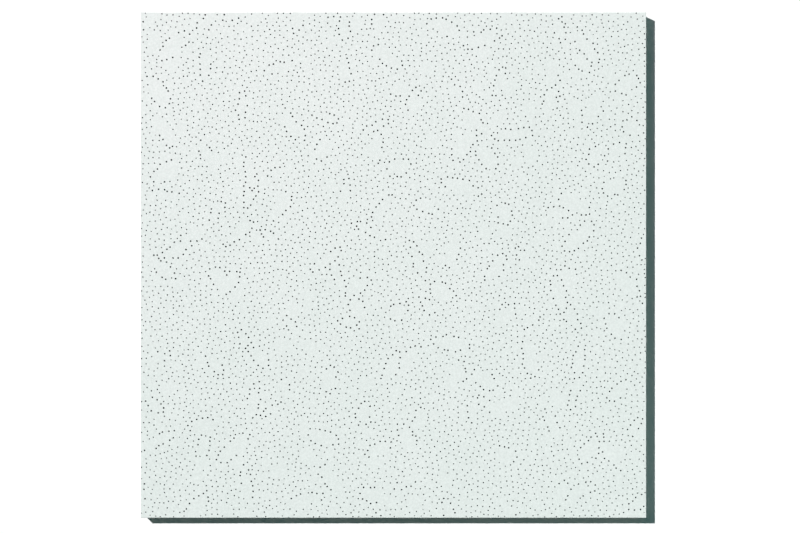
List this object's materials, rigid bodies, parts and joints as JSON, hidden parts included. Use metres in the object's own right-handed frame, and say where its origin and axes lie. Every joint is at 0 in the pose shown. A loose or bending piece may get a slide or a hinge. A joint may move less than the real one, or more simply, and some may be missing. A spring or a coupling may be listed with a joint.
{
  "type": "suspended ceiling tile",
  "caption": "Square lay-in ceiling tile of pressed mineral fibre, with square-cut edges and a white painted face punched all over with scattered pinholes.",
  "frame": {"origin": "middle of the back face, on which the tile lies", "axes": "+Z out of the painted face, X and Y along the tile's edges"},
  "size_m": [0.595, 0.595, 0.015],
  "materials": {
    "painted_fibre": "matte white paint with a cool tint on pressed mineral fibre, raw and grey inside the pinholes, at the edges and on the back"
  },
  "bodies": {
    "root": {"tile": "painted_fibre"}
  },
  "joints": []
}
